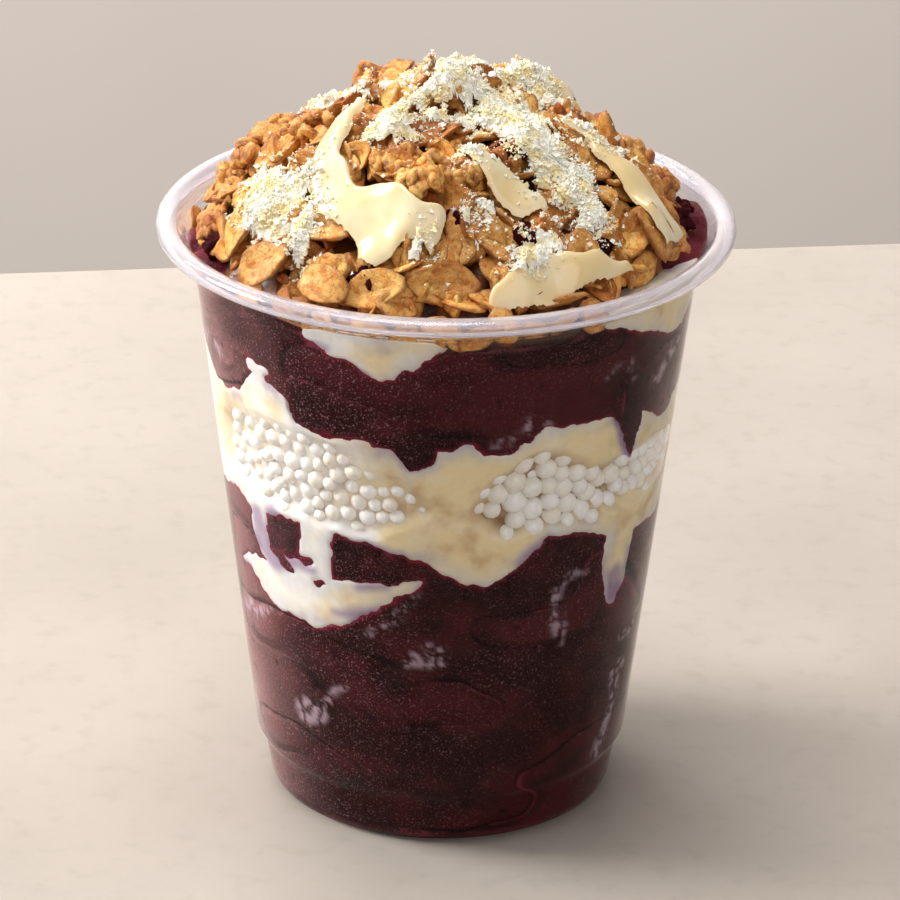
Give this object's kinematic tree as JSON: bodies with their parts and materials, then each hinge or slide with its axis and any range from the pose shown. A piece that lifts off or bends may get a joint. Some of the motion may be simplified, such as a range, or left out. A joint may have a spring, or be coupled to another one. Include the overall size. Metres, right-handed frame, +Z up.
{
  "type": "layered acai cup",
  "caption": "Clear tapered plastic cup filled with layers of frozen acai and cream with pearls, topped with a heap of toasted oat granola, condensed milk and milk powder.",
  "frame": {"origin": "centre of the cup's foot, on the surface it stands on", "axes": "+Z up along the cup's axis, -Y towards the front, +X to the right seen from the front"},
  "size_m": [0.098, 0.098, 0.1332],
  "materials": {
    "clear_plastic": "clear thermoformed cup plastic, glossy",
    "acai": "frozen acai, dark purple-brown, softly moist",
    "cream": "milk cream and condensed milk, soft wet gloss",
    "granola": "toasted oat flakes with a thin honey glaze",
    "pearls": "cooked white tapioca pearls, glossy and slightly translucent",
    "milk_powder": "dry milk powder in soft crumbs"
  },
  "bodies": {
    "root": {"cup": "clear_plastic", "acai_lower": "acai", "cream_layer": "cream", "acai_upper": "acai", "granola_heap": "granola"}
  },
  "joints": []
}
